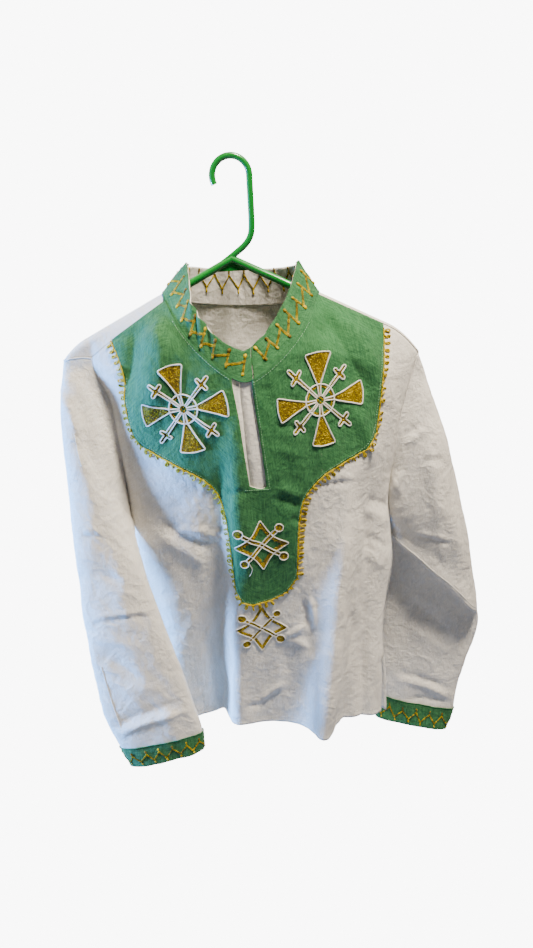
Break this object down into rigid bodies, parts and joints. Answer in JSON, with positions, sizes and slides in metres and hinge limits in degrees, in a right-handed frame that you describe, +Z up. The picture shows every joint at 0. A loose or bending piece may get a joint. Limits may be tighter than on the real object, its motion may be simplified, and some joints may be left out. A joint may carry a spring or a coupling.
{
  "type": "habesha shirt on plastic hanger",
  "caption": "Long-sleeved white cotton habesha shirt with a green yoke, stand collar and cuffs and gold embroidery, hanging on a tubular plastic hanger.",
  "frame": {"origin": "inside top of the hanger's hook, where a rail carries it", "axes": "+Z up; -Y is the garment's front; +X is the wearer's left"},
  "size_m": [0.5877, 0.1613, 0.8884],
  "materials": {
    "white_cotton": "matte plain weave",
    "green_chambray": "matte chambray weave",
    "green_plastic": "glossy moulded"
  },
  "bodies": {
    "root": {"back_panel": "white_cotton", "collar": "green_chambray", "collar_lining": "white_cotton", "cuff_band_left": "green_chambray", "cuff_band_right": "green_chambray", "front_panel": "white_cotton", "hanger": "green_plastic", "sleeve_left": "white_cotton", "sleeve_right": "white_cotton", "slit_facing": "white_cotton", "slit_underlap": "white_cotton", "yoke": "green_chambray"}
  },
  "joints": []
}
